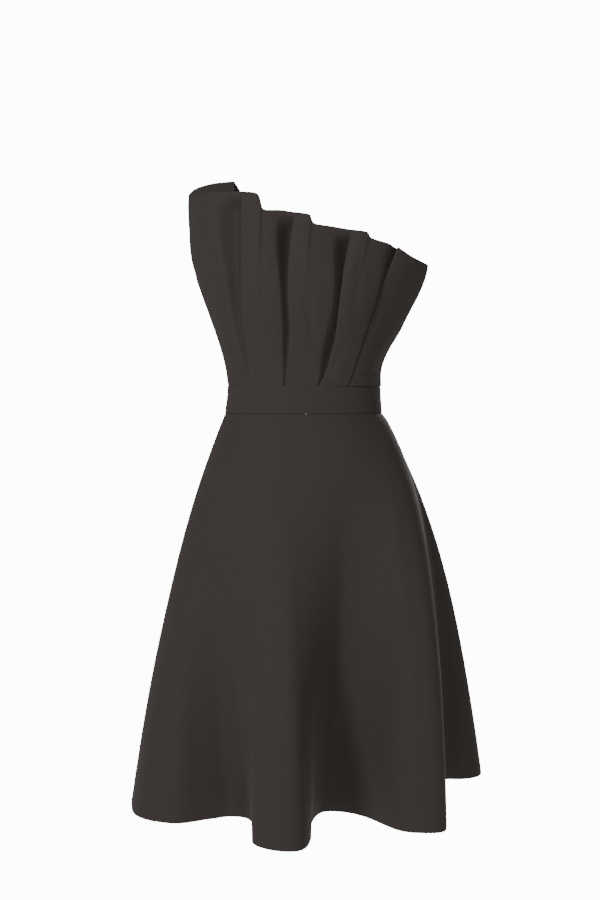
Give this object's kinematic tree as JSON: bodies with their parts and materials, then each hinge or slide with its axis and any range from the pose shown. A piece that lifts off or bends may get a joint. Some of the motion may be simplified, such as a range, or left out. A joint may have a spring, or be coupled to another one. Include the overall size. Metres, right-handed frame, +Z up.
{
  "type": "one-shoulder dress",
  "caption": "Knee-length one-shoulder dress in plain thick cloth: pleated bodice with a free folded wing, flat waistband and a deep fluted skirt.",
  "frame": {"origin": "middle of the waist opening, level with the seam between bodice and waistband", "axes": "+Z up, the front faces -Y, the wearer's left side is at +X"},
  "size_m": [0.6074, 0.5282, 1.0155],
  "materials": {
    "cloth": "matt, smooth, thick double-faced cloth",
    "zip_tape": "matt woven tape",
    "zip_metal": "dark satin"
  },
  "bodies": {
    "dress": {"bodice_front": "cloth", "bodice_back_right": "cloth", "bodice_back_left": "cloth", "waistband_front": "cloth", "waistband_back_left": "cloth", "waistband_back_right": "cloth", "skirt_front": "cloth", "skirt_back_left": "cloth", "skirt_back_right": "cloth", "zip_chain": "zip_tape", "zip_slider": "zip_metal"},
    "pull": {"zip_pull": "zip_metal"}
  },
  "joints": [
    {"name": "zip_pull_hinge", "type": "hinge", "parent": "dress", "child": "pull", "pos_m": [0, 0.10928, 0.224], "axis": [1, 0, 0], "range_deg": [0, 150]}
  ]
}
